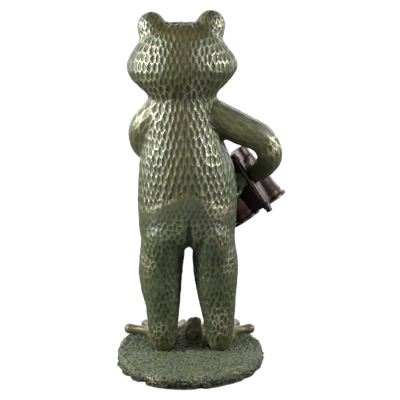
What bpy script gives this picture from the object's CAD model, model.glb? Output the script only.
"""Finished look of the frog garden statue: gouged and patinated skin, rough ground, field glasses.

Metres, +Z up. The frog faces -Y and its right side is -X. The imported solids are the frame:
each piece here stands where its solid stands and carries the fine surface that the solid
leaves out.
"""

import logging
import math
from collections.abc import Callable, Sequence
from dataclasses import dataclass, field
from enum import Enum

import bpy
import numpy as np
from mathutils import Matrix, Vector, noise
from mathutils.bvhtree import BVHTree
from mathutils.kdtree import KDTree


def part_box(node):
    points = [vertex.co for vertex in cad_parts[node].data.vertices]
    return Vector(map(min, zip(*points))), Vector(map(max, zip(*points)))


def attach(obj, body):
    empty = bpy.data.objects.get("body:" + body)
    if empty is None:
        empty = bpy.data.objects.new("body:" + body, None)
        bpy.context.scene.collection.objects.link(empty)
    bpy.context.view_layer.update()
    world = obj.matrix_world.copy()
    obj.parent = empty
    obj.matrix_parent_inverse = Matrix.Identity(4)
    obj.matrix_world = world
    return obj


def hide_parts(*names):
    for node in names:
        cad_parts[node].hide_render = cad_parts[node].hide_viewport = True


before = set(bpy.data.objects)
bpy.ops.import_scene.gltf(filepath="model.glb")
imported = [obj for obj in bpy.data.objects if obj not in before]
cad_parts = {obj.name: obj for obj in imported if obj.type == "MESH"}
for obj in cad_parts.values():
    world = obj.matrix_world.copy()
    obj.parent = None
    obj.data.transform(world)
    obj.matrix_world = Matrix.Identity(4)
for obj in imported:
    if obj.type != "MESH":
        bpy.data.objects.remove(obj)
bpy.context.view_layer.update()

MM = 0.001
BODY = "root"

log = logging.getLogger("frog_statue")

NodeInput = bpy.types.NodeSocket | float | tuple


class Limb(Enum):
    """The limbs whose gouge marks run along them instead of upright, as paths in metres."""

    RIGHT_ARM = (
        (-0.045, 0.002, 0.385),
        (-0.075, 0.002, 0.366),
        (-0.110, 0.000, 0.347),
        (-0.119, -0.007, 0.325),
        (-0.114, -0.028, 0.304),
        (-0.093, -0.062, 0.282),
    )
    LEFT_ARM = (
        (0.058, 0.000, 0.390),
        (0.067, -0.006, 0.368),
        (0.066, -0.028, 0.335),
        (0.048, -0.056, 0.323),
        (0.016, -0.073, 0.313),
        (-0.024, -0.086, 0.290),
    )


def linear(hex_colour: str) -> tuple[float, float, float, float]:
    """Turns an sRGB hex colour to the linear values that a shader takes.

    Args:
        hex_colour: Six hex digits, with or without a leading hash.

    Returns:
        Linear red, green, blue and an alpha of 1.
    """
    digits = hex_colour.lstrip("#")
    values = [int(digits[i : i + 2], 16) / 255 for i in (0, 2, 4)]
    bent = [v / 12.92 if v <= 0.04045 else ((v + 0.055) / 1.055) ** 2.4 for v in values]
    return (bent[0], bent[1], bent[2], 1.0)


def add_node(
    tree: bpy.types.NodeTree,
    kind: str,
    inputs: dict[str | int, NodeInput] | None = None,
    **settings: object,
) -> bpy.types.Node:
    """Adds one node with its settings, and fills or links its inputs.

    Args:
        tree: The material's node tree.
        kind: The node's type name.
        inputs: Values or output sockets for the inputs, by name or number.
        **settings: Properties of the node.

    Returns:
        The new node.
    """
    item = tree.nodes.new(kind)
    for name, value in settings.items():
        setattr(item, name, value)
    for name, value in (inputs or {}).items():
        if isinstance(value, bpy.types.NodeSocket):
            tree.links.new(value, item.inputs[name])
        else:
            item.inputs[name].default_value = value
    return item


def deselect() -> None:
    """Leaves edit mode and deselects every object."""
    if bpy.context.object and bpy.context.object.mode != "OBJECT":
        bpy.ops.object.mode_set(mode="OBJECT")
    bpy.ops.object.select_all(action="DESELECT")


def choose(piece: bpy.types.Object) -> None:
    """Makes one object the only selected and the active one.

    Args:
        piece: The object.
    """
    deselect()
    piece.select_set(True)
    bpy.context.view_layer.objects.active = piece


def apply_modifiers(piece: bpy.types.Object) -> None:
    """Applies the object's modifiers in their order.

    Args:
        piece: The object.
    """
    choose(piece)
    for modifier in list(piece.modifiers):
        bpy.ops.object.modifier_apply(modifier=modifier.name)


def copy_of_solid(node: str, name: str) -> bpy.types.Object:
    """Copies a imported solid's mesh to a new piece and merges its loose triangles.

    Args:
        node: The solid's name.
        name: The new piece's name.

    Returns:
        The new piece, with one closed skin.
    """
    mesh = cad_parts[node].data.copy()
    mesh.name = name
    mesh.materials.clear()
    piece = bpy.data.objects.new(name, mesh)
    bpy.context.scene.collection.objects.link(piece)
    choose(piece)
    bpy.ops.object.mode_set(mode="EDIT")
    bpy.ops.mesh.select_all(action="SELECT")
    bpy.ops.mesh.remove_doubles(threshold=0.01 * MM)
    bpy.ops.object.mode_set(mode="OBJECT")
    return piece


def even_skin(piece: bpy.types.Object, rounds: int, voxel: float, passes: int) -> None:
    """Rounds off the solid's facets and gives it an even fine mesh.

    Args:
        piece: The piece to work on.
        rounds: Levels of subdivision before the even mesh is laid.
        voxel: Size of the even mesh's cells in metres.
        passes: Passes of smoothing afterwards.
    """
    round_off = piece.modifiers.new("round_off", "SUBSURF")
    round_off.levels = rounds
    round_off.render_levels = rounds
    lay = piece.modifiers.new("lay", "REMESH")
    lay.mode = "VOXEL"
    lay.voxel_size = voxel
    ease = piece.modifiers.new("ease", "SMOOTH")
    ease.factor = 0.5
    ease.iterations = passes
    apply_modifiers(piece)


def thin_out(piece: bpy.types.Object, triangles: int) -> None:
    """Brings the piece down to about so many triangles, keeping its sharp ridges.

    Args:
        piece: The piece to work on.
        triangles: About how many triangles to leave.
    """
    have = sum(len(face.vertices) - 2 for face in piece.data.polygons)
    thin = piece.modifiers.new("thin", "DECIMATE")
    thin.ratio = min(1.0, triangles / have)
    thin.use_collapse_triangulate = True
    apply_modifiers(piece)


def places(mesh: bpy.types.Mesh) -> np.ndarray:
    """The mesh's points as rows of X, Y and Z.

    Args:
        mesh: The mesh to read.

    Returns:
        One row for each point, in metres.
    """
    out = np.empty(len(mesh.vertices) * 3, dtype=np.float64)
    mesh.vertices.foreach_get("co", out)
    return out.reshape(-1, 3)


def set_places(mesh: bpy.types.Mesh, points: np.ndarray) -> None:
    """Moves the mesh's points to the rows given."""
    mesh.vertices.foreach_set("co", points.ravel())
    mesh.update()


def outward(mesh: bpy.types.Mesh) -> np.ndarray:
    """The mesh's point normals as rows.

    Args:
        mesh: The mesh to read.

    Returns:
        One unit direction for each point.
    """
    out = np.empty(len(mesh.vertices) * 3, dtype=np.float64)
    mesh.vertex_normals.foreach_get("vector", out)
    return out.reshape(-1, 3)


def edge_pairs(mesh: bpy.types.Mesh) -> np.ndarray:
    """The mesh's edges as rows of two point numbers.

    Args:
        mesh: The mesh to read.

    Returns:
        One row for each edge.
    """
    out = np.empty(len(mesh.edges) * 2, dtype=np.int64)
    mesh.edges.foreach_get("vertices", out)
    return out.reshape(-1, 2)


def spread(values: np.ndarray, pairs: np.ndarray, passes: int) -> np.ndarray:
    """Averages values over the mesh, so that they change softly from point to point.

    Args:
        values: One row for each point.
        pairs: The mesh's edges.
        passes: How often each point takes the mean of its neighbours.

    Returns:
        The softened values.
    """
    count = np.bincount(pairs.ravel(), minlength=len(values)).astype(float)
    count = np.maximum(count, 1.0)
    rows = values if values.ndim == 2 else values[:, None]
    for _ in range(passes):
        mean = np.empty_like(rows)
        for column in range(rows.shape[1]):
            one = rows[:, column]
            total = np.bincount(pairs[:, 0], one[pairs[:, 1]], minlength=len(one))
            total += np.bincount(pairs[:, 1], one[pairs[:, 0]], minlength=len(one))
            mean[:, column] = total / count
        rows = 0.5 * rows + 0.5 * mean
    return rows if values.ndim == 2 else rows[:, 0]


def bulge(mesh: bpy.types.Mesh, passes: int) -> np.ndarray:
    """How far each point stands out of the surface round it, in metres.

    Args:
        mesh: The mesh to measure.
        passes: How widely the surface round a point is averaged.

    Returns:
        One height for each point, below zero in a crease.
    """
    points = places(mesh)
    mean = spread(points, edge_pairs(mesh), passes)
    return np.einsum("ij,ij->i", points - mean, outward(mesh))


def step(values: np.ndarray, low: float, high: float) -> np.ndarray:
    """Goes smoothly from 0 at low to 1 at high."""
    share = np.clip((values - low) / (high - low), 0.0, 1.0)
    return share * share * (3 - 2 * share)


def store(mesh: bpy.types.Mesh, name: str, values: np.ndarray) -> None:
    """Keeps one number for each point, for the finish to read."""
    layer = mesh.attributes.new(name, "FLOAT", "POINT")
    layer.data.foreach_set("value", values.astype(np.float32))


def grain(points: np.ndarray, size: float, seed: float) -> np.ndarray:
    """Smooth noise from -1 to 1 with lumps of about the size given in metres."""
    shift = Vector((seed, seed * 1.7, -seed * 0.6))
    return np.array([noise.noise(Vector(p) / size + shift) for p in points])


def pebbles(points: np.ndarray, size: float, seed: float) -> np.ndarray:
    """Rounded lumps packed side by side, like pebbles.

    Args:
        points: Rows of places.
        size: About how far apart the lumps are, in metres.
        seed: Shifts the pattern.

    Returns:
        One value for each point, from 0 between lumps to 1 on top.
    """
    shift = Vector((seed, seed * 0.7, seed * 1.3))
    near = [noise.voronoi(Vector(p) / size + shift)[0] for p in points]
    return np.array([min(1.0, (d[1] - d[0]) * 1.6) for d in near])


@dataclass(frozen=True)
class GougePattern:
    """Width, length and depth of the gouge marks on one part of the figure, in metres."""

    width: float
    length: float
    depth: float


@dataclass(frozen=True)
class RubbedPlace:
    """A place where hands and cloth have rubbed the patina: two ends and a radius."""

    start: tuple[float, float, float]
    end: tuple[float, float, float]
    radius: float
    strength: float = 1.0

    def share(self, points: np.ndarray) -> np.ndarray:
        """How rubbed each point is.

        Args:
            points: Rows of places.

        Returns:
            One value for each point, from 0 to the place's strength.
        """
        low, run = np.array(self.start), np.array(self.end) - np.array(self.start)
        along = np.clip((points - low) @ run / max(run @ run, 1e-12), 0, 1)
        away = np.linalg.norm(points - low - along[:, None] * run, axis=1)
        return self.strength * (1 - step(away, self.radius * 0.45, self.radius * 1.15))


@dataclass(frozen=True)
class Pattern:
    """A noise pattern of a real size, and the shares that are cut from it.

    A share is what lies between two levels of the noise, spread from one value to another.
    """

    size: float
    detail: float
    roughness: float
    shares: tuple[tuple[float, float, float, float], ...] = ()
    stretch: float = 1.0

    def lay(self, tree: bpy.types.NodeTree) -> list[bpy.types.NodeSocket]:
        """Adds the noise and its shares to a finish.

        Args:
            tree: The finish's node tree.

        Returns:
            The noise's output, and then each share's.
        """
        place = add_node(tree, "ShaderNodeTexCoord").outputs["Object"]
        if self.stretch != 1.0:
            place = add_node(
                tree, "ShaderNodeMapping", {"Vector": place, "Scale": (1, 1, self.stretch)}
            ).outputs[0]
        level = add_node(
            tree,
            "ShaderNodeTexNoise",
            {
                "Vector": place,
                "Scale": 1 / self.size,
                "Detail": self.detail,
                "Roughness": self.roughness,
            },
        ).outputs["Fac"]
        cut = [
            add_node(
                tree,
                "ShaderNodeMapRange",
                {"Value": level, "From Min": a, "From Max": b, "To Min": low, "To Max": high},
            ).outputs[0]
            for a, b, low, high in self.shares
        ]
        return [level, *cut]


@dataclass(frozen=True)
class Finish:
    """What every finish shares: how it starts, and how coats and shader are put together."""

    name: str

    def start(self, *marks: str) -> tuple[bpy.types.Material, list[bpy.types.NodeSocket]]:
        """Starts the material.

        Args:
            *marks: Names of values stored on the mesh.

        Returns:
            The material, without a shader yet, and an output for each mark.
        """
        material = bpy.data.materials.new(self.name)
        material.use_nodes = True
        tree = material.node_tree
        tree.nodes.clear()
        read = [
            add_node(tree, "ShaderNodeAttribute", attribute_name=mark).outputs["Fac"]
            for mark in marks
        ]
        return material, read

    def complete(
        self,
        tree: bpy.types.NodeTree,
        base: str,
        coats: Sequence[tuple[NodeInput, NodeInput]],
        shader: dict[str, NodeInput],
        relief: dict[str, NodeInput] | None = None,
    ) -> None:
        """Lays the coats one over another and puts the shader together.

        Args:
            tree: The finish's node tree.
            base: Colour of the lowest coat.
            coats: For each further coat its share and its colour.
            shader: The shader's other inputs.
            relief: The bump's inputs, where the finish has any.
        """
        shade = linear(base)
        for share, coat in coats:
            shade = add_node(
                tree,
                "ShaderNodeMix",
                {"Factor": share, "A": shade, "B": coat},
                data_type="RGBA",
            ).outputs[2]
        bump = {"Normal": add_node(tree, "ShaderNodeBump", relief).outputs[0]} if relief else {}
        skin = add_node(
            tree, "ShaderNodeBsdfPrincipled", {"Base Color": shade, **shader, **bump}
        )
        add_node(tree, "ShaderNodeOutputMaterial", {"Surface": skin.outputs[0]})


@dataclass(frozen=True)
class PatinatedCasting(Finish):
    """Cast aluminium under a hand-rubbed green patina: satin, with the metal showing on ridges.

    The eye sees grey-green hollows with olive and brown in the creases, teal drifts where
    the patina is thick, and champagne metal where it is worn through. Real grit is finer
    than a tenth of a millimetre and is drawn coarser, so that it shows.
    """

    name: str = "antiqued_green_casting"
    hollow: str = "#3e462e"
    hollow_dark: str = "#161a10"
    teal: str = "#2b3d32"
    olive: str = "#463e18"
    ridge_green: str = "#565e48"
    ridge_gold: str = "#665829"
    rubbed: str = "#aba58f"
    seam: str = "#1c1d14"
    ridge_paint: float = 0.28
    rubbed_roughness: float = 0.28
    metal: tuple[float, float] = (0.25, 0.80)
    sheen_level: float = 0.35
    relief: float = 0.30 * MM
    # Teal share; then olive spots, worn spots and roughness.
    drift: Pattern = Pattern(45 * MM, 3.0, 0.55, ((0.48, 0.68, 0.0, 0.6),))
    fleck: Pattern = Pattern(
        2.2 * MM,
        3.0,
        0.60,
        ((0.42, 0.62, 0.25, 1.0), (0.30, 0.60, 0.35, 1.0), (0.30, 0.70, 0.34, 0.50)),
    )
    grit: Pattern = Pattern(0.9 * MM, 2.0, 0.50)
    strokes: Pattern = Pattern(2.4 * MM, 4.0, 0.60, stretch=0.32)

    def make(self) -> bpy.types.Material:
        """Builds the material.

        Returns:
            The finished material.
        """
        marks = ("ridge", "wear", "tone", "crease", "olive")
        material, (ridge, rub, tone, crease, olive) = self.start(*marks)
        tree = material.node_tree
        _, teal_share = self.drift.lay(tree)
        _, olive_spot, worn_spot, rough = self.fleck.lay(tree)
        grit, strokes = self.grit.lay(tree)[0], self.strokes.lay(tree)[0]
        olive_share, edge = (
            add_node(
                tree, "ShaderNodeMath", {0: one, 1: other}, operation="MULTIPLY", use_clamp=True
            ).outputs[0]
            for one, other in ((olive, olive_spot), (ridge, worn_spot))
        )
        # Ridges that are still painted catch a little light, rubbed ones are bare metal.
        soft_edge, worn = (
            add_node(
                tree, "ShaderNodeMath", {0: edge, 1: other}, operation="MULTIPLY", use_clamp=True
            ).outputs[0]
            for other in (self.ridge_paint, rub)
        )
        edge_shade = add_node(
            tree,
            "ShaderNodeMix",
            {"Factor": olive, "A": linear(self.ridge_green), "B": linear(self.ridge_gold)},
            data_type="RGBA",
        ).outputs[2]
        coats = (
            (tone, linear(self.hollow)),
            (teal_share, linear(self.teal)),
            (olive_share, linear(self.olive)),
            (soft_edge, edge_shade),
            (worn, linear(self.rubbed)),
            (crease, linear(self.seam)),
        )
        rough = add_node(
            tree,
            "ShaderNodeMix",
            {"Factor": worn, "A": rough, "B": self.rubbed_roughness},
            data_type="FLOAT",
        ).outputs[0]
        metal = add_node(
            tree,
            "ShaderNodeMapRange",
            {"Value": worn, "To Min": self.metal[0], "To Max": self.metal[1]},
        ).outputs[0]
        height = add_node(
            tree, "ShaderNodeMath", {0: strokes, 1: grit}, operation="ADD"
        ).outputs[0]
        shader = {"Roughness": rough, "Metallic": metal, "Specular IOR Level": self.sheen_level}
        relief = {"Height": height, "Distance": self.relief, "Strength": 0.8}
        self.complete(tree, self.hollow_dark, coats, shader, relief)
        return material


@dataclass(frozen=True)
class MossyGround(Finish):
    """Sand-cast ground, painted matt: dull grey-green with gold dust on its broken edges.

    The eye sees dark pits, pale specks of grit and, on the boulder, browner moss. The
    specks of real sand are a few tenths of a millimetre and are drawn coarser to show.
    """

    name: str = "painted_rough_ground"
    ground: str = "#3a412a"
    dark: str = "#14170f"
    teal: str = "#2b372c"
    olive: str = "#38331c"
    speck: str = "#5d6244"
    moss: str = "#45452a"
    gold: str = "#9c8a63"
    roughness: tuple[float, float] = (0.70, 0.34)
    metal: tuple[float, float] = (0.0, 0.75)
    sheen_level: float = 0.25
    relief: float = 1.1 * MM
    # Teal share and dusty places; then olive share and holes; then specks.
    drift: Pattern = Pattern(
        30 * MM, 4.0, 0.60, ((0.40, 0.62, 0.0, 1.0), (0.45, 0.60, 0.0, 1.0))
    )
    fleck: Pattern = Pattern(
        5.5 * MM, 4.0, 0.65, ((0.50, 0.66, 0.0, 0.7), (0.38, 0.47, 0.85, 0.0))
    )
    grit: Pattern = Pattern(1.8 * MM, 2.0, 0.50, ((0.50, 0.66, 0.0, 0.75),))

    def make(self) -> bpy.types.Material:
        """Builds the material.

        Returns:
            The finished material.
        """
        material, (edge, pit, moss) = self.start("edge", "pit", "moss")
        tree = material.node_tree
        _, teal_share, dusty = self.drift.lay(tree)
        fleck, olive_share, hole = self.fleck.lay(tree)
        grit, speck = self.grit.lay(tree)
        hole, dust = (
            add_node(
                tree, "ShaderNodeMath", {0: one, 1: other}, operation=how, use_clamp=True
            ).outputs[0]
            for one, other, how in ((hole, pit, "ADD"), (edge, dusty, "MULTIPLY"))
        )
        coats = (
            (teal_share, linear(self.teal)),
            (olive_share, linear(self.olive)),
            (speck, linear(self.speck)),
            (moss, linear(self.moss)),
            (hole, linear(self.dark)),
            (dust, linear(self.gold)),
        )
        rough, metal = (
            add_node(
                tree, "ShaderNodeMapRange", {"Value": dust, "To Min": low, "To Max": high}
            ).outputs[0]
            for low, high in (self.roughness, self.metal)
        )
        height = add_node(
            tree, "ShaderNodeMath", {0: fleck, 1: grit}, operation="ADD"
        ).outputs[0]
        shader = {"Roughness": rough, "Metallic": metal, "Specular IOR Level": self.sheen_level}
        relief = {"Height": height, "Distance": self.relief, "Strength": 0.8}
        self.complete(tree, self.ground, coats, shader, relief)
        return material


@dataclass(frozen=True)
class AntiqueCopper(Finish):
    """Cast metal in dark copper lacquer: deep red-brown, satin, blushing lighter in places."""

    deep: str = "#160b09"
    copper: str = "#38201a"
    roughness: float = 0.42
    relief: float = 0.08 * MM

    def make(self) -> bpy.types.Material:
        """Builds the material.

        Returns:
            The finished material.
        """
        material, _ = self.start()
        tree = material.node_tree
        satin = (0.30, 0.70, self.roughness + 0.10, self.roughness - 0.06)
        blush = Pattern(16 * MM, 4.0, 0.6, ((0.38, 0.66, 0.0, 1.0), satin))
        _, share, rough = blush.lay(tree)
        brush = Pattern(1.4 * MM, 2.0, 0.5).lay(tree)[0]
        shader = {
            "Roughness": rough,
            "Metallic": 0.75,
            "Coat Weight": 0.10,
            "Coat Roughness": 0.2,
        }
        relief = {"Height": brush, "Distance": self.relief, "Strength": 0.5}
        self.complete(tree, self.deep, ((share, linear(self.copper)),), shader, relief)
        return material


@dataclass(frozen=True)
class BlackLens(Finish):
    """Cast lens painted black under gloss lacquer: it reads as dark coated glass."""

    name: str = "black_gloss_lens"
    black: str = "#0c0d12"

    def make(self) -> bpy.types.Material:
        """Builds the material.

        Returns:
            The finished material.
        """
        material, _ = self.start()
        shader = {"Roughness": 0.06, "Metallic": 0.0, "Coat Weight": 1.0, "Coat Roughness": 0.03}
        self.complete(material.node_tree, self.black, (), shader)
        return material


@dataclass
class FrogSkin:
    """The cast figure, with the gouge marks cut into its skin.

    Marks are laid in staggered rows round the head, the body and the limbs, and then
    settle against each other. Each one is scooped like the cut of a round gouge, pointed
    at both ends, so that a net of sharp ridges stays between them.
    """

    voxel: float = 0.95 * MM
    triangles: int = 194_000
    samples: int = 50_000
    settle_rounds: int = 1
    seed: int = 7
    head: GougePattern = GougePattern(8.4 * MM, 17.5 * MM, 1.50 * MM)
    bumps: GougePattern = GougePattern(6.6 * MM, 12.0 * MM, 1.00 * MM)
    torso: GougePattern = GougePattern(9.2 * MM, 22.0 * MM, 2.00 * MM)
    rump: GougePattern = GougePattern(8.0 * MM, 13.0 * MM, 1.30 * MM)
    legs: GougePattern = GougePattern(7.6 * MM, 16.0 * MM, 1.80 * MM)
    arms: GougePattern = GougePattern(9.5 * MM, 26.0 * MM, 0.50 * MM)
    row_share: float = 0.60
    row_gap: float = 0.42
    fill_gap: float = 0.60
    fill_tries: int = 12_000
    looseness: tuple[float, float] = (0.20, 0.07)
    loose_below: float = 0.235
    slimness: float = 1.45
    point: float = 0.35
    blunt: float = 0.12
    ray_reach: float = 0.12
    leg_top: float = 0.195
    leg_fade: tuple[float, float] = (0.185, 0.205)
    feet_height: float = 0.050
    ground: float = 0.0203
    heel_top: float = 0.044
    heel_draw: float = 0.50
    heels: tuple[tuple[float, float], ...] = ((0.041, -0.004), (-0.045, -0.004))
    neck_height: float = 0.432
    rump_arch: tuple[float, float, float] = (0.004, 0.283, 0.55)
    arch_bend: float = 0.010
    arch_width: float = 0.006
    arch_groove: float = 0.7 * MM
    eyes: tuple[tuple[float, float, float, float], ...] = (
        (0.0604, -0.0203, 0.5163, 0.0172),
        (-0.0355, -0.0206, 0.5183, 0.0176),
    )
    eye_bumps: tuple[tuple[float, float, float], ...] = (
        (0.056, -0.008, 0.5163),
        (-0.031, -0.008, 0.5183),
    )
    trunk: tuple[tuple[float, float, float], ...] = (
        (0.004, 0.0, 0.180),
        (0.006, 0.0, 0.330),
        (0.012, 0.0, 0.425),
    )
    leg_axes: tuple[tuple[tuple[float, float, float], ...], ...] = (
        ((0.042, 0.0, 0.040), (0.045, 0.0, 0.140), (0.036, 0.0, 0.215)),
        ((-0.044, 0.0, 0.040), (-0.039, 0.0, 0.140), (-0.029, 0.0, 0.215)),
    )
    head_middle: tuple[float, float, float] = (0.012, 0.0, 0.468)
    rubbed: tuple[RubbedPlace, ...] = (
        RubbedPlace((0.058, 0.040, 0.500), (0.062, 0.040, 0.462), 0.026),
        RubbedPlace((-0.022, 0.050, 0.482), (-0.045, 0.040, 0.478), 0.024),
        RubbedPlace((0.069, 0.010, 0.518), (0.066, 0.012, 0.505), 0.016),
        RubbedPlace((-0.042, 0.010, 0.524), (-0.044, 0.012, 0.512), 0.014),
        RubbedPlace((0.045, 0.035, 0.420), (0.055, 0.040, 0.275), 0.024, 0.75),
        RubbedPlace((-0.012, 0.048, 0.425), (-0.040, 0.040, 0.260), 0.024),
        RubbedPlace((0.072, 0.010, 0.398), (0.074, 0.015, 0.375), 0.014, 0.5),
        RubbedPlace((-0.130, 0.008, 0.352), (-0.128, 0.014, 0.340), 0.017),
        RubbedPlace((-0.044, 0.028, 0.082), (-0.046, 0.028, 0.056), 0.017, 0.95),
        RubbedPlace((0.045, 0.026, 0.060), (0.050, 0.022, 0.054), 0.014, 0.8),
        RubbedPlace((0.066, 0.020, 0.172), (0.060, 0.030, 0.165), 0.014, 0.7),
        RubbedPlace((-0.057, 0.024, 0.178), (-0.055, 0.026, 0.160), 0.013, 0.8),
        RubbedPlace((-0.020, 0.045, 0.222), (-0.050, 0.035, 0.212), 0.020, 0.20),
        RubbedPlace((0.020, 0.045, 0.226), (0.034, 0.040, 0.218), 0.016, 0.25),
        RubbedPlace((-0.025, -0.068, 0.470), (0.050, -0.068, 0.470), 0.020, 0.7),
        RubbedPlace((0.000, -0.070, 0.330), (0.004, -0.075, 0.240), 0.034, 0.7),
        RubbedPlace((0.044, -0.032, 0.170), (0.044, -0.032, 0.110), 0.018, 0.7),
        RubbedPlace((-0.042, -0.032, 0.170), (-0.042, -0.032, 0.110), 0.018, 0.7),
    )

    def limb_flow(self, points: np.ndarray) -> tuple[np.ndarray, np.ndarray]:
        """Finds how the marks run at each point, and how much of an arm it is.

        Args:
            points: Rows of places.

        Returns:
            Unit directions of the marks, and a share of 1 on an arm and 0 on the body.
        """
        along = np.tile(np.array([0.0, 0.0, 1.0]), (len(points), 1))
        best = np.full(len(points), 1e9)
        for limb in Limb:
            path = np.array(limb.value)
            for start, end in zip(path, path[1:]):
                run = end - start
                share = np.clip((points - start) @ run / (run @ run), 0, 1)
                away = np.linalg.norm(points - start - share[:, None] * run, axis=1)
                closer = away < best
                best[closer] = away[closer]
                direction = run / np.linalg.norm(run)
                if direction[2] < 0:
                    direction = -direction
                inside = closer & (away < 0.030)
                along[inside] = direction
        arm = 1 - step(best, 0.0245, 0.030)
        return along, arm

    def bump_share(self, points: np.ndarray) -> np.ndarray:
        """How much of an eye bump each point is.

        Args:
            points: Rows of places.

        Returns:
            A share of 1 on a bump and 0 elsewhere.
        """
        share = np.zeros(len(points))
        for middle in self.eye_bumps:
            away = np.linalg.norm(points - np.array(middle), axis=1)
            share = np.maximum(share, 1 - step(away, 0.0235, 0.0275))
        return share

    def from_heels(self, points: np.ndarray) -> np.ndarray:
        """How far each point stands from the nearer heel's middle, seen from above."""
        return np.min([np.hypot(*(points[:, :2] - heel).T) for heel in self.heels], axis=0)

    def below_arch(self, points: np.ndarray) -> np.ndarray:
        """How far below the arch over the rump each point lies.

        Args:
            points: Rows of places.

        Returns:
            One height in metres for each point, below zero above the arch.
        """
        middle, top, slope = self.rump_arch
        over = points[:, 0] - middle
        return top - slope * np.sqrt(over**2 + self.arch_bend**2) - points[:, 2]

    def arch_line(self, points: np.ndarray) -> np.ndarray:
        """How much of the line along the arch each point is, on the back only."""
        line = 1 - step(np.abs(self.below_arch(points)), 0.0, self.arch_width)
        return line * step(points[:, 1], 0.0, 0.030)

    def fields(self, points: np.ndarray, normals: np.ndarray) -> dict[str, np.ndarray]:
        """Works out the marks' direction, size and depth at each point.

        Args:
            points: Rows of places.
            normals: Rows of outward directions.

        Returns:
            Arrays named along, across, width, length and depth.
        """
        along, arm = self.limb_flow(points)
        z = points[:, 2]
        head = step(z, self.neck_height - 0.010, self.neck_height + 0.010)
        arm = arm * (1 - head)
        legs = 1 - step(z, *self.leg_fade)
        rump = step(self.below_arch(points), -0.004, 0.006) * (1 - legs)
        rump *= step(points[:, 1], 0.0, 0.030)
        bumps = self.bump_share(points)

        def blend(key: str) -> np.ndarray:
            """Mixes one measure of the patterns by how much of each part a point is.

            Args:
                key: The measure's name in GougePattern.

            Returns:
                One value in metres for each point.
            """
            value = np.full(len(points), getattr(self.torso, key))
            for share, pattern in (
                (rump, self.rump),
                (legs, self.legs),
                (head, self.head),
                (bumps, self.bumps),
                (arm, self.arms),
            ):
                value += share * (getattr(pattern, key) - value)
            return value

        depth = blend("depth")
        feet = 1 - step(z, self.feet_height - 0.014, self.feet_height + 0.008)
        low = 1 - step(z, self.ground + 0.004, self.ground + 0.016)
        depth *= 1 - 0.90 * feet * step(self.from_heels(points), 0.022, 0.034)
        depth *= 1 - 0.85 * low
        below = self.below_arch(points)
        depth *= 1 - 0.75 * rump * (1 - step(below, 0.010, 0.034))
        faded = step(grain(points, 26 * MM, 4.9), -0.25, 0.20)
        depth *= 1 - 0.55 * legs * (1 - faded)
        belly = step(-points[:, 1], 0.020, 0.050) * (1 - head)
        depth *= 1 - 0.40 * belly
        for x, y, height, radius in self.eyes:
            away = np.linalg.norm(points - np.array([x, y, height]), axis=1)
            front = step(-(points[:, 1] - y), -0.004, 0.004)
            depth *= 1 - (1 - step(away, radius, radius + 0.004)) * front
        hands = step(-points[:, 1], 0.048, 0.060) * arm
        depth *= 1 - 0.8 * hands
        across = np.cross(normals, along)
        across /= np.maximum(np.linalg.norm(across, axis=1, keepdims=True), 1e-9)
        along = np.cross(across, normals)
        return {
            "along": along,
            "across": across,
            "width": blend("width"),
            "length": blend("length"),
            "depth": depth,
        }

    def reach(
        self,
        points: np.ndarray,
        normals: np.ndarray,
        at: dict[str, np.ndarray],
        centres: np.ndarray,
        near: int = 8,
    ) -> tuple[np.ndarray, np.ndarray, np.ndarray]:
        """Measures how far each point is from the middles of the nearest marks.

        The measure grows more slowly along a mark than across it, and its levels are
        pointed at both ends, like the cut of a gouge.

        Args:
            points: Rows of places.
            normals: Rows of outward directions.
            at: The marks' fields at those places.
            centres: Middles of the marks.
            near: How many marks to weigh for each point.

        Returns:
            The nearest mark's number, and the measures to the nearest and the next one.
        """
        tree = KDTree(len(centres))
        for number, centre in enumerate(centres):
            tree.insert(centre, number)
        tree.balance()
        found = np.array([[hit[1] for hit in tree.find_n(p, near)] for p in points])
        apart = centres[found] - points[:, None, :]
        long = at["length"][:, None] / self.slimness
        over = np.einsum("ijk,ik->ij", apart, at["across"]) / at["width"][:, None]
        up = np.einsum("ijk,ik->ij", apart, at["along"]) / long
        off = np.einsum("ijk,ik->ij", apart, normals) / long
        side = np.sqrt(over**2 + self.blunt**2) + self.point
        level = np.sqrt(side**2 + up**2 + off**2) - self.blunt - self.point
        order = np.argsort(level, axis=1)[:, :2]
        rows = np.arange(len(points))
        return (
            found[rows, order[:, 0]],
            level[rows, order[:, 0]],
            level[rows, order[:, 1]],
        )

    def ring(
        self, skin: BVHTree, middle: Vector, ray: Callable[[float], Vector], width: float, odd: bool
    ) -> list[Vector]:
        """Lays one row of marks round a part, a mark's width apart, from its back both ways.

        Args:
            skin: The figure's surface.
            middle: The point inside the part that the row goes round.
            ray: Gives the direction out from the middle at an angle, with 0 at the back.
            width: Distance from mark to mark.
            odd: Whether the row is shifted by half a mark.

        Returns:
            Places on the skin.
        """
        spots = []
        for way in (1, -1):
            last, gone = None, 0.0
            due = 0.5 * width if odd else (0.0 if way == 1 else width)
            for degree in range(0, 181, 3):
                aim = ray(way * math.radians(degree))
                hit = skin.ray_cast(middle, aim, self.ray_reach)[0]
                if hit is None:
                    break
                part = (hit - last).length if last else 0.0
                while due <= gone + part:
                    spots.append(last.lerp(hit, (due - gone) / part) if part else hit)
                    due += width
                gone += part
                last = hit
        return spots

    def rows_along(
        self, skin: BVHTree, axis: tuple[tuple[float, float, float], ...], pattern: GougePattern
    ) -> list[Vector]:
        """Lays staggered rows of marks round a straight part or a limb.

        Args:
            skin: The figure's surface, to find where each mark falls.
            axis: Points inside the part, from one end to the other.
            pattern: The marks' size.

        Returns:
            Places on the skin.
        """
        spots = []
        row = pattern.length * self.row_share
        left, number = 0.0, 0
        for start, end in zip(axis, axis[1:]):
            low, run = Vector(start), Vector(end) - Vector(start)
            length = run.length
            run.normalize()
            side = run.cross(Vector((0, 1, 0))).normalized()
            back = side.cross(run)

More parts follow.
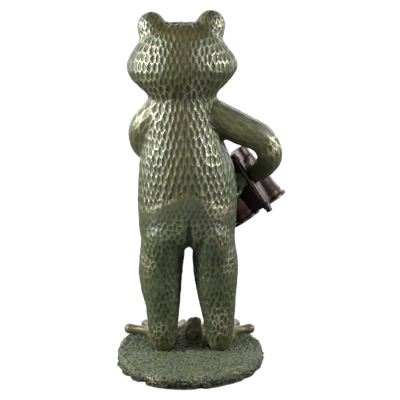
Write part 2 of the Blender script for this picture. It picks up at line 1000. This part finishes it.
            def ray(turn: float, side: Vector = side, back: Vector = back) -> Vector:
                """The direction out from the axis."""
                return side * math.sin(turn) + back * math.cos(turn)

            while left < length:
                spots += self.ring(skin, low + run * left, ray, pattern.width, number % 2 == 1)
                number += 1
                left += row
            left -= length
        return spots

    def rows_over(
        self,
        skin: BVHTree,
        middle: tuple[float, float, float],
        pattern: GougePattern,
        low: float,
        high: float,
    ) -> list[Vector]:
        """Lays staggered rows of marks over a round part, up to its top.

        Args:
            skin: The figure's surface.
            middle: A point inside the part.
            pattern: The marks' size.
            low: Angle of the lowest row below or above the level, in degrees.
            high: Angle of the highest row.

        Returns:
            Places on the skin.
        """
        spots = []
        centre = Vector(middle)
        lift, number = math.radians(low), 0
        while lift < math.radians(high):

            def ray(turn: float, lift: float = lift) -> Vector:
                """The direction out from the middle at the row's height."""
                level = math.cos(lift)
                return Vector((level * math.sin(turn), level * math.cos(turn), math.sin(lift)))

            spots += self.ring(skin, centre, ray, pattern.width, number % 2 == 1)
            hit = skin.ray_cast(centre, ray(0.0), self.ray_reach)[0]
            away = (hit - centre).length if hit else self.ray_reach
            lift += pattern.length * self.row_share / away
            number += 1
        return spots

    def lay_marks(self, mesh: bpy.types.Mesh) -> np.ndarray:
        """Lays the marks in rows and lets them settle on the skin.

        Args:
            mesh: The figure's mesh.

        Returns:
            Rows of places, one for each mark.
        """
        points, normals = places(mesh), outward(mesh)
        skin = BVHTree.FromPolygons(
            [v.co for v in mesh.vertices], [tuple(f.vertices) for f in mesh.polygons]
        )
        laid = [
            *(self.rows_over(skin, middle, self.bumps, -30, 88) for middle in self.eye_bumps),
            *(self.rows_along(skin, limb.value, self.arms) for limb in Limb),
            self.rows_over(skin, self.head_middle, self.head, -38, 86),
            self.rows_along(skin, self.trunk, self.torso),
            self.rows_along(skin, self.trunk[:2], self.rump),
            *(self.rows_along(skin, axis, self.legs) for axis in self.leg_axes),
        ]
        chance = np.random.default_rng(self.seed)
        pick = chance.choice(len(points), min(self.samples, len(points)), replace=False)
        spots, facing = points[pick], normals[pick]
        finder = KDTree(len(spots))
        for number, spot in enumerate(spots):
            finder.insert(spot, number)
        finder.balance()
        at = self.fields(spots, facing)
        _, arm = self.limb_flow(spots)
        bump = self.bump_share(spots)
        below = self.below_arch(spots)
        height, back = spots[:, 2], spots[:, 1]
        head = height > self.neck_height
        leg = height <= self.leg_top
        on_rump = (below > 0) & (back > 0.015) & ~leg
        on_arm = arm > 0.5
        where = (
            [bump > 0.5] * 2
            + [on_arm & ~head] * 2
            + [head & (bump <= 0.5)]
            + [~head & ~on_rump & ~leg & ~on_arm]
            + [on_rump & ~on_arm]
            + [leg] * 2
        )
        cells = [[finder.find(place)[1] for place in group] for group in laid]
        seeds = [i for group, fits in zip(cells, where) for i in group if fits[i]]
        rest = chance.permutation(len(spots))
        kept: list[int] = []
        grid = np.empty((0, 3))
        for number, i in enumerate(seeds + list(rest[: self.fill_tries])):
            if len(grid):
                apart = grid - spots[i]
                wide = at["width"][i]
                close = np.abs(apart).max(axis=1) < 0.03
                near = apart[close]
                over = near @ at["across"][i] / wide
                up = near @ at["along"][i] / (at["length"][i] / self.slimness)
                off = near @ facing[i] / wide
                least = self.row_gap if number < len(seeds) else self.fill_gap
                if len(near) and (over**2 + up**2 + off**2).min() < least:
                    continue
            kept.append(i)
            grid = spots[kept]
        loose = at["width"][kept] * np.where(height[kept] < self.loose_below, *self.looseness)
        centres = spots[kept] + loose[:, None] * chance.standard_normal((len(kept), 3))
        log.info("%d marks laid in rows, %d after gaps are filled", len(seeds), len(centres))
        for _ in range(self.settle_rounds):
            owner, _, _ = self.reach(spots, facing, at, centres)
            count = len(centres)
            size = np.bincount(owner, minlength=count)
            sums = [np.bincount(owner, spots[:, axis], minlength=count) for axis in range(3)]
            total = np.stack(sums, axis=1)
            held = size > 0
            middle = total[held] / size[held, None]
            centres[held] += 0.5 * (middle - centres[held])
            centres = np.array([spots[finder.find(c)[1]] for c in centres])
        return centres

    def round_heels(self, points: np.ndarray) -> np.ndarray:
        """Draws the heels in toward the ground, so that they stand like balls.

        Args:
            points: Rows of places on the skin.

        Returns:
            The rows with the heels' points moved.
        """
        moved = points.copy()
        low = np.clip((self.heel_top - points[:, 2]) / (self.heel_top - self.ground), 0, 1)
        share = 1 - self.heel_draw * (1 - np.sqrt(1 - 0.92 * low**2))
        for x, y in self.heels:
            near = 1 - step(np.abs(points[:, 0] - x), 0.026, 0.030)
            near *= step(points[:, 1], -0.034, -0.008)
            factor = 1 - (1 - share) * near
            moved[:, 0] = x + (moved[:, 0] - x) * factor
            behind = points[:, 1] > y
            moved[behind, 1] = y + (moved[behind, 1] - y) * factor[behind]
        return moved

    def cut_profile(self, first: np.ndarray, second: np.ndarray) -> np.ndarray:
        """Shapes a mark's hollow: part a bowl up to the ridge, part a round cut.

        Args:
            first: Measures to the nearest mark's middle.
            second: Measures to the next one's.

        Returns:
            How deep the cut is, from 1 in the middle to 0 on the ridge.
        """
        edge = np.maximum((first + second) / 2, 1e-6)
        bowl = 1 - (first / edge) ** 2
        round_cut = 1 - np.minimum(first / 0.47, 1.0) ** 2
        return np.clip(0.55 * bowl + 0.45 * round_cut, 0, 1)

    def build(self) -> bpy.types.Object:
        """Makes the skin over the frog's solid and cuts the marks.

        Returns:
            The finished piece.
        """
        piece = copy_of_solid("frog", "frog_skin")
        even_skin(piece, 2, self.voxel, 3)
        mesh = piece.data
        set_places(mesh, self.round_heels(places(mesh)))
        points, normals = places(mesh), outward(mesh)
        log.info("skin of %d points", len(points))
        crease = spread(np.minimum(bulge(mesh, 30), 0.0), edge_pairs(mesh), 3)
        centres = self.lay_marks(mesh)
        at = self.fields(points, normals)
        _, first, second = self.reach(points, normals, at, centres)
        cut = at["depth"] * self.cut_profile(first, second)
        arch = self.arch_line(points)
        arch *= 1 - step(np.abs(points[:, 0] - self.rump_arch[0]), 0.022, 0.040)
        cut += self.arch_groove * arch
        set_places(mesh, points - normals * cut[:, None])
        store(mesh, "crease_depth", crease)
        thin_out(piece, self.triangles)
        self.mark_finish(piece, centres)
        return piece

    def mark_finish(self, piece: bpy.types.Object, centres: np.ndarray) -> None:
        """Stores what the finish reads: worn ridges, tones, creases and olive drifts.

        Args:
            piece: The skin with its marks cut.
            centres: Middles of the marks.
        """
        mesh = piece.data
        points, normals = places(mesh), outward(mesh)
        at = self.fields(points, normals)
        owner, first, second = self.reach(points, normals, at, centres)
        strength = np.clip(at["depth"] / (0.25 * self.torso.depth), 0, 1)
        apart = (second - first) * at["width"] / MM
        ridge = (1 - step(apart, 0.05, 0.85)) * strength
        wear = np.zeros(len(points))
        for place in self.rubbed:
            wear = np.maximum(wear, place.share(points))
        chance = np.random.default_rng(self.seed + 1)
        tone = 0.55 + 0.45 * chance.random(len(centres))[owner]
        bowl = 1 - strength * (1 - step(first, 0.05, 0.45)) * 0.55
        depth = np.empty(len(points), dtype=np.float32)
        mesh.attributes["crease_depth"].data.foreach_get("value", depth)
        crease = step(-depth, 0.15 * MM, 0.9 * MM)
        x, y, z = points[:, 0], points[:, 1], points[:, 2]
        aside = np.abs(x - self.head_middle[0])
        spine = 1 - step(aside, 0.008, 0.034)
        spine *= step(y, 0.0, 0.02) * step(z, 0.24, 0.30)
        crown = step(z, 0.490, 0.512) * (1 - step(aside, 0.030, 0.055))
        feet = 1 - step(z, 0.035, 0.060)
        toes = feet * step(self.from_heels(points), 0.022, 0.034)
        below = self.below_arch(points)
        arch = self.arch_line(points)
        _, arm = self.limb_flow(points)
        olive = 0.22 + 0.42 * spine + 0.5 * crown + 0.15 * feet + 0.55 * toes
        olive += 0.5 * arch + 0.25 * arm
        smooth = step(below, -0.003, 0.006) * (1 - step(below, 0.030, 0.065))
        smooth *= step(y, 0.0, 0.030)
        dim = (1 - 0.65 * crown) * (1 - 0.2 * spine) * (1 - 0.40 * smooth)
        store(mesh, "ridge", ridge)
        store(mesh, "wear", wear)
        store(mesh, "tone", tone * bowl * dim)
        store(mesh, "crease", crease)
        store(mesh, "olive", np.clip(olive, 0, 1))

    def dress(self, piece: bpy.types.Object) -> None:
        """Gives the skin its patina and fixes it in the statue.

        Args:
            piece: The finished skin.
        """
        piece.data.materials.append(PatinatedCasting().make())
        piece.data.shade_smooth()
        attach(piece, BODY)
        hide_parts("frog")


@dataclass
class Ground:
    """The patch of ground and the boulder: coarse, pitted, and broken away at its edge."""

    voxel: float = 1.10 * MM
    triangles: int = 190_000
    lumps: float = 2.2 * MM
    chips: float = 3.4 * MM
    pits: float = 1.2 * MM
    top: float = 0.020
    boulder: tuple[float, float, float] = (-0.0055, -0.0400, 0.0325)
    sectors: int = 120
    edge_drop: float = 6.0 * MM
    torn_band: tuple[float, float] = (1 * MM, 11 * MM)

    def stone(self, points: np.ndarray) -> np.ndarray:
        """How much of the boulder each point is."""
        away = np.linalg.norm(points - np.array(self.boulder), axis=1)
        return (1 - step(away, 0.026, 0.030)) * step(points[:, 2], 0.019, 0.022)

    def roughness(self, points: np.ndarray, normals: np.ndarray) -> np.ndarray:
        """How far each point is moved out, below zero where the ground is broken in.

        Args:
            points: Rows of places.
            normals: Rows of outward directions.

        Returns:
            One distance in metres for each point.
        """
        coarse = grain(points, 22 * MM, 3.1)
        middle = grain(points, 9 * MM, 8.7)
        fine = grain(points, 3.4 * MM, 5.3)
        sand = grain(points, 1.6 * MM, 6.1)
        chip = pebbles(points, 15 * MM, 4.4)
        small = pebbles(points, 6.5 * MM, 2.2)
        level = step(normals[:, 2], 0.35, 0.85)
        stone = self.stone(points)
        side = (1 - level) * (1 - stone)
        out = self.lumps * (0.40 * coarse + 0.40 * middle + 0.42 * fine + 0.26 * sand - 0.42)
        out -= self.pits * step(-grain(points, 4.5 * MM, 1.9), 0.22, 0.5)
        out -= side * self.chips * (0.75 * (1 - chip) + 0.35 * (1 - small))
        knobs = 1.5 * MM * (pebbles(points, 11 * MM, 7.7) - 0.2) + 2.2 * MM * middle
        out = out * (1 - stone) + stone * knobs
        rim = step(points[:, 2], self.top - 0.004, self.top - 0.001)
        return np.minimum(out, 0.2 * MM + stone * 3.2 * MM + (1 - rim) * 0.4 * MM)

    def inset(self, points: np.ndarray) -> np.ndarray:
        """How far in from the outline each point lies, seen from above.

        Args:
            points: Rows of places.

        Returns:
            One distance in metres for each point.
        """
        turn = np.arctan2(points[:, 1], points[:, 0])
        away = np.hypot(points[:, 0], points[:, 1])
        place = ((turn + math.pi) / (2 * math.pi) * self.sectors).astype(int)
        place = np.minimum(place, self.sectors - 1)
        reach = np.zeros(self.sectors)
        np.maximum.at(reach, place, away)
        reach = (np.roll(reach, 1) + 2 * reach + np.roll(reach, -1)) / 4
        return reach[place] - away

    def break_edge(self, points: np.ndarray) -> np.ndarray:
        """Lowers the ground's edge in uneven steps, like torn turf.

        Args:
            points: Rows of places on the ground.

        Returns:
            How far each point is lowered, in metres.
        """
        inset = self.inset(points)
        plan = points * np.array([1, 1, 0])
        wander = 7 * MM * grain(plan, 26 * MM, 11.3)
        wander += 3 * MM * grain(plan, 9 * MM, 2.9)
        near = 1 - step(inset + wander, *self.torn_band)
        rest = 1 - step(inset + 0.6 * wander, 1 * MM, 5 * MM)
        steps = 0.5 + 0.5 * pebbles(plan, 17 * MM, 5.9)
        lip = np.exp(-(((inset + wander - self.torn_band[1]) / (3 * MM)) ** 2))
        top = step(points[:, 2], 0.008, self.top - 0.001)
        drop = (self.edge_drop * near * steps + 1.5 * MM * rest * steps) * top
        return drop - 0.9 * MM * lip * top

    def build(self) -> bpy.types.Object:
        """Makes the ground over its solid and roughens it.

        Returns:
            The finished piece.
        """
        piece = copy_of_solid("ground_base", "rough_ground")
        even_skin(piece, 1, self.voxel, 2)
        mesh = piece.data
        points, normals = places(mesh), outward(mesh)
        low, high = (np.array(corner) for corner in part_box("ground_base"))
        rough = self.roughness(points, normals)
        lift = step(points[:, 2], 0.4 * MM, 3.0 * MM)
        push = normals * rough[:, None]
        push[:, 2] *= lift
        moved = points + push
        moved[:, 2] -= self.break_edge(points)
        moved = np.minimum(np.maximum(moved, low), high)
        set_places(mesh, moved)
        thin_out(piece, self.triangles)
        mesh = piece.data
        out = bulge(mesh, 5)
        points = places(mesh)
        stone = self.stone(points)
        steep = 1 - step(outward(mesh)[:, 2], 0.20, 0.75)
        patches = step(grain(points, 28 * MM, 12.7), 0.08, 0.30)
        store(mesh, "edge", step(out, 0.20 * MM, 0.55 * MM) * patches * (1 - stone))
        pit = step(-out, 0.05 * MM, 0.45 * MM)
        store(mesh, "pit", np.clip(pit + 0.60 * steep, 0, 1) * (1 - 0.85 * stone))
        store(mesh, "moss", stone)
        return piece

    def dress(self, piece: bpy.types.Object) -> None:
        """Gives the ground its paint and fixes it in the statue.

        Args:
            piece: The finished ground.
        """
        piece.data.materials.append(MossyGround().make())
        piece.data.shade_smooth()
        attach(piece, BODY)
        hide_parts("ground_base")


@dataclass
class FieldGlasses:
    """Two barrels with their rims and lenses, two bridges, and the rail with its wheel.

    Pieces are made upright, with the eye end at the bottom, and then moved to the hands.
    X runs from the far barrel to the near one, Y up to the rail, Z to the objective end.
    """

    length: float = 0.0980
    spacing: float = 0.0520
    eye_radius: float = 0.0125
    objective_radius: float = 0.0225
    rim_proud: float = 0.0028
    rim_length: float = 0.0045
    rail_height: float = 0.0360
    rail_top: tuple[float, float, float] = (-0.0638, -0.0448, 0.3180)
    direction: tuple[float, float, float] = (-0.555, 0.130, -0.821)
    turned_toward: tuple[float, float, float] = (0.0, 0.970, 0.242)
    twist: float = 18.0
    cup_proud: float = 1.2 * MM
    lens_recess: float = 6.8 * MM
    front_bridge: float = 39 * MM
    rear_bridge: tuple[float, float] = (0.6 * MM, 26.9 * MM)
    bridge_top: float = 9.0 * MM
    keel: float = -4.0 * MM
    sides: int = 72
    lens_sides: int = 48
    pieces: list[bpy.types.Object] = field(default_factory=list)

    def seat(self) -> Matrix:
        """Works out where the glasses are held.

        Returns:
            The matrix from the glasses' own frame to the statue's.
        """
        along = Vector(self.direction).normalized()
        view = Vector(self.turned_toward).normalized()
        right = view.cross(along).normalized()
        toward = along.cross(right).normalized()
        turn = math.radians(self.twist)
        across = right * math.cos(turn) - toward * math.sin(turn)
        up = toward * math.cos(turn) + right * math.sin(turn)
        zero = Vector(self.rail_top) - up * self.rail_height
        return Matrix.Translation(zero) @ Matrix((across, up, along)).transposed().to_4x4()

    def turn_up(
        self, name: str, profile: Sequence[tuple[float, float]], sides: int
    ) -> bpy.types.Object:
        """Raises a round piece from a disc, ring by ring.

        Args:
            name: The piece's name.
            profile: Radius and height of each ring, from the first disc on.
            sides: Number of sides.

        Returns:
            The closed piece, round the Z axis.
        """
        deselect()
        radius, height = profile[0]
        bpy.ops.mesh.primitive_circle_add(
            vertices=sides, radius=radius, fill_type="NGON", location=(0, 0, height)
        )
        piece = bpy.context.object
        piece.name = name
        bpy.ops.object.transform_apply(location=True, rotation=False, scale=False)
        bpy.ops.object.mode_set(mode="EDIT")
        bpy.ops.mesh.select_all(action="SELECT")
        for next_radius, next_height in profile[1:]:
            bpy.ops.mesh.extrude_region_move(
                TRANSFORM_OT_translate={"value": (0, 0, next_height - height)}
            )
            share = next_radius / radius
            bpy.ops.transform.resize(
                value=(share, share, 1), center_override=(0, 0, next_height)
            )
            radius, height = next_radius, next_height
        bpy.ops.mesh.select_all(action="SELECT")
        bpy.ops.mesh.normals_make_consistent(inside=False)
        bpy.ops.object.mode_set(mode="OBJECT")
        return piece

    def finish_piece(
        self, piece: bpy.types.Object, place: Vector, bevel: float, finish: bpy.types.Material
    ) -> None:
        """Softens a piece's edges, moves it to the hands and gives it its finish.

        Args:
            piece: The piece, in the glasses' own frame.
            place: How far it is moved in that frame first.
            bevel: Width of its rounded edges, or 0 for none.
            finish: Its material.
        """
        if bevel:
            soft = piece.modifiers.new("soft_edges", "BEVEL")
            soft.width = bevel
            soft.segments = 3
            soft.limit_method = "ANGLE"
            soft.angle_limit = math.radians(30)
            apply_modifiers(piece)
        piece.data.transform(self.seat() @ Matrix.Translation(place))
        piece.data.materials.clear()
        piece.data.materials.append(finish)
        choose(piece)
        bpy.ops.object.shade_smooth_by_angle(angle=math.radians(35))
        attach(piece, BODY)
        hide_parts("binoculars")
        self.pieces.append(piece)

    def radius_at(self, along: float) -> float:
        """The barrel's radius at a distance from the eye end."""
        share = along / self.length
        return self.eye_radius + (self.objective_radius - self.eye_radius) * share

    def barrel(self, name: str) -> bpy.types.Object:
        """Turns one barrel with its eyecup, ring, rim and hollow ends.

        Args:
            name: The piece's name.

        Returns:
            The barrel, upright at the origin.
        """
        eye, wide, length = self.eye_radius, self.objective_radius, self.length
        rim = wide + self.rim_proud
        neck = length - self.rim_length
        cup = eye + self.cup_proud
        profile = [
            (eye * 0.60, 3.0 * MM),
            (eye * 0.62, 1.0 * MM),
            (eye * 0.84, 0.0),
            (cup, 0.0),
            (cup, 9.0 * MM),
            # Along the cone: where its radius is taken, how far it stands proud, the height.
            *(
                (self.radius_at(at * MM) + proud * MM, height * MM)
                for at, proud, height in (
                    (9, 0.0, 10.2),
                    (18, 0.0, 18.0),
                    (18, 0.5, 18.4),
                    (20, 0.5, 20.4),
                    (21, 0.0, 20.8),
                    (60, 0.0, 60.0),
                    (84, 0.0, 84.0),
                    (84, 0.6, 84.5),
                    (87, 0.6, 87.0),
                    (87, 0.0, 87.5),
                )
            ),
            (self.radius_at(neck), neck - 0.8 * MM),
            (rim, neck + 0.4 * MM),
            (rim, length),
            (wide - 1.6 * MM, length),
            (wide - 3.4 * MM, length - 4.0 * MM),
            (wide - 3.6 * MM, length - 7.0 * MM),
        ]
        return self.turn_up(name, profile, self.sides)

    def lens(self, name: str, radius: float, low: float, crown: float) -> bpy.types.Object:
        """Raises a lens as a shallow dome.

        Args:
            name: The piece's name.
            radius: Radius of its edge.
            low: Height of its edge.
            crown: Height of its middle above the edge, below zero for one facing down.

        Returns:
            The lens, upright at the origin.
        """
        rings = [
            (radius * math.cos(math.radians(a)), low + crown * math.sin(math.radians(a)))
            for a in (0, 15, 30, 45, 60, 75, 86)
        ]
        start = [(radius, low - math.copysign(0.5 * MM, crown))]
        return self.turn_up(name, start + rings, self.lens_sides)

    def bridge(self, name: str, start: float, length: float, top: float) -> bpy.types.Object:
        """Shapes a bridge from a block: straight below, drawn in to the rail above.

        Args:
            name: The piece's name.
            start: Where it begins along the barrels.
            length: How far it runs along them.
            top: Height of its top.

        Returns:
            The bridge, in the glasses' own frame.
        """
        shoulder = self.radius_at(start + length / 2) * 0.62
        deselect()
        bpy.ops.mesh.primitive_cube_add(
            size=1,
            location=(0, (shoulder + self.keel) / 2, start + length / 2),
            scale=(self.spacing, shoulder - self.keel, length),
        )
        piece = bpy.context.object
        piece.name = name
        bpy.ops.object.transform_apply(location=True, rotation=True, scale=True)
        bpy.ops.object.mode_set(mode="EDIT")
        bpy.ops.mesh.select_all(action="DESELECT")
        bpy.ops.object.mode_set(mode="OBJECT")
        for face in piece.data.polygons:
            face.select = face.normal.y > 0.9
        bpy.ops.object.mode_set(mode="EDIT")
        bpy.ops.mesh.select_mode(type="FACE")
        bpy.ops.mesh.extrude_region_move(
            TRANSFORM_OT_translate={"value": (0, top - shoulder, 0)}
        )
        bpy.ops.transform.resize(
            value=(self.bridge_top / self.spacing, 1, 1),
            center_override=(0, top, start + length / 2),
        )
        bpy.ops.object.mode_set(mode="OBJECT")
        return piece

    def build(self) -> list[bpy.types.Object]:
        """Makes all the pieces and puts them in the frog's hands.

        Returns:
            The finished pieces.
        """
        copper = AntiqueCopper("dark_copper_lacquer").make()
        black = AntiqueCopper(
            "blackened_copper", deep="#0c0706", copper="#21130f", roughness=0.38
        ).make()
        glass = BlackLens().make()
        half, over = self.spacing / 2, self.rail_height
        for side, label in ((half, "near"), (-half, "far")):
            place = Vector((side, 0, 0))
            self.finish_piece(self.barrel(f"{label}_barrel"), place, 0.35 * MM, copper)
            for name, radius, low, crown in (
                (
                    "objective_lens",
                    self.objective_radius - 3.7 * MM,
                    self.length - self.lens_recess,
                    2.2 * MM,
                ),
                ("eye_lens", self.eye_radius * 0.60, 2.8 * MM, -1.0 * MM),
            ):
                dome = self.lens(f"{label}_{name}", radius, low, crown)
                self.finish_piece(dome, place, 0.0, glass)
        start = self.length - self.rim_length - self.front_bridge
        for name, low, length, above, bevel, finish in (
            ("front_bridge", start, self.front_bridge, 2.2 * MM, 1.2 * MM, black),
            ("rear_bridge", *self.rear_bridge, 1.0 * MM, 1.0 * MM, copper),
        ):
            web = self.bridge(name, low, length, over + above)
            self.finish_piece(web, Vector((0, 0, 0)), bevel, finish)
        end = self.length
        rail = (
            (3.6 * MM, 1.8 * MM),
            (5.0 * MM, 2.6 * MM),
            (5.0 * MM, 60 * MM),
            (5.0 * MM, end + 5.6 * MM),
            (4.2 * MM, end + 7.0 * MM),
        )
        wheel = (
            (5.6 * MM, 7.0 * MM),
            (7.0 * MM, 7.8 * MM),
            (7.0 * MM, 14.2 * MM),
            (5.6 * MM, 15.0 * MM),
        )
        knob = ((6.2 * MM, 90.5 * MM), (6.2 * MM, 98.4 * MM), (4.6 * MM, 98.5 * MM))
        for name, profile, sides, flat, bevel, finish in (
            ("rail", rail, 32, 0.8, 0.4 * MM, copper),
            ("focus_wheel", wheel, 40, 1.0, 0.3 * MM, copper),
            ("hinge_end", knob, 32, 1.0, 0.4 * MM, black),
        ):
            turned = self.turn_up(name, profile, sides)
            turned.data.transform(Matrix.Diagonal((1, flat, 1, 1)))
            self.finish_piece(turned, Vector((0, over, 0)), bevel, finish)
        return self.pieces


@dataclass(frozen=True)
class Softbox:
    """One soft lamp: where it stands from the statue's middle, its size and power."""

    place: tuple[float, float, float]
    size: tuple[float, float]
    power: float


@dataclass
class Studio:
    """Pale floor, soft lamps on both sides, and the camera behind the frog."""

    target: tuple[float, float, float] = (-0.015, 0.0, 0.257)
    elevation: float = 14.0
    distance: float = 2.0
    lens: float = 120.0
    backdrop: float = 1.0
    room: float = 0.27
    paper_light: float = 3.1
    lamps: tuple[Softbox, ...] = (
        Softbox((1.40, 0.42, 0.50), (0.35, 0.8), 78.0),
        Softbox((-1.40, 0.42, 0.50), (0.35, 0.8), 50.0),
        Softbox((0.0, 1.2, 1.7), (0.7, 0.4), 4.0),
        Softbox((0.2, 1.7, -0.05), (1.2, 0.7), 8.0),
        Softbox((0.95, -1.4, 0.50), (1.8, 1.4), 34.0),
        Softbox((-0.95, -1.4, 0.50), (1.8, 1.4), 34.0),
    )

    def floor(self) -> bpy.types.Object:
        """Lays the pale floor and marks it as no part of the statue.

        Returns:
            The floor.
        """
        deselect()
        bpy.ops.mesh.primitive_plane_add(size=80, location=(0, 0, -0.0002))
        plane = bpy.context.object
        plane.name = "studio_floor"
        paper = bpy.data.materials.new("white_paper")
        paper.use_nodes = True
        shader = paper.node_tree.nodes["Principled BSDF"]
        shader.inputs["Base Color"].default_value = linear("#f4f4f4")
        shader.inputs["Roughness"].default_value = 0.9
        plane.data.materials.append(paper)
        plane.visible_diffuse = False
        plane.visible_glossy = False
        return plane

    def light_paper(self, plane: bpy.types.Object) -> None:
        """Lights the floor alone from straight above, so that it stays white to its end.

        Args:
            plane: The floor.
        """
        data = bpy.data.lights.new("paper_light", "SUN")
        data.energy = self.paper_light
        data.angle = math.radians(20)
        item = bpy.data.objects.new(data.name, data)
        bpy.context.scene.collection.objects.link(item)
        item.location = (0, 0, 3)
        only_floor = bpy.data.collections.new("lit_floor")
        only_floor.objects.link(plane)
        item.light_linking.receiver_collection = only_floor
        item.light_linking.blocker_collection = only_floor

    def light(self, statue: list[bpy.types.Object]) -> None:
        """Sets up the lamps on the statue and the white room.

        Args:
            statue: The pieces that the lamps shine on.
        """
        only_statue = bpy.data.collections.new("lit_statue")
        for piece in statue:
            only_statue.objects.link(piece)
        middle = Vector(self.target)
        for number, lamp in enumerate(self.lamps, 1):
            data = bpy.data.lights.new(f"softbox_{number}", "AREA")
            data.shape = "RECTANGLE"
            data.size, data.size_y = lamp.size
            data.energy = lamp.power
            item = bpy.data.objects.new(data.name, data)
            bpy.context.scene.collection.objects.link(item)
            item.light_linking.receiver_collection = only_statue
            item.location = middle + Vector(lamp.place)
            aim = middle - item.location
            item.rotation_euler = aim.to_track_quat("-Z", "Y").to_euler()
        bpy.context.scene.view_settings.view_transform = "Standard"
        world = bpy.data.worlds.new("white_room")
        world.use_nodes = True
        tree = world.node_tree
        seen = add_node(tree, "ShaderNodeLightPath").outputs["Is Camera Ray"]
        strength = add_node(
            tree,
            "ShaderNodeMapRange",
            {"Value": seen, "To Min": self.room, "To Max": self.backdrop},
        ).outputs[0]
        sky = tree.nodes["Background"]
        sky.inputs["Color"].default_value = linear("#ffffff")
        tree.links.new(strength, sky.inputs["Strength"])
        bpy.context.scene.world = world

    def camera(self) -> None:
        """Puts the camera at the photograph's angle."""
        data = bpy.data.cameras.new("view")
        data.lens = self.lens
        data.sensor_width = 36
        item = bpy.data.objects.new("view", data)
        bpy.context.scene.collection.objects.link(item)
        up = math.radians(self.elevation)
        back = Vector((0, math.cos(up), math.sin(up)))
        item.location = Vector(self.target) + back * self.distance
        item.rotation_euler = (-back).to_track_quat("-Z", "Y").to_euler()
        bpy.context.scene.camera = item

    def build(self, statue: list[bpy.types.Object]) -> None:
        """Sets up everything round the statue's pieces.

        Args:
            statue: The pieces that the lamps shine on.
        """
        self.light_paper(self.floor())
        self.light(statue)
        self.camera()


def main() -> None:
    """Builds the statue's pieces in order, then the studio."""
    logging.basicConfig(level=logging.INFO, format="%(name)s: %(message)s")
    skin = FrogSkin()
    frog = skin.build()
    skin.dress(frog)
    log.info("frog skin: %d faces", len(frog.data.polygons))
    ground = Ground()
    earth = ground.build()
    ground.dress(earth)
    log.info("ground: %d faces", len(earth.data.polygons))
    glasses = FieldGlasses().build()
    for piece in glasses:
        log.info("%s: %d faces", piece.name, len(piece.data.polygons))
    Studio().build([frog, earth, *glasses])


if __name__ == "__main__":
    main()
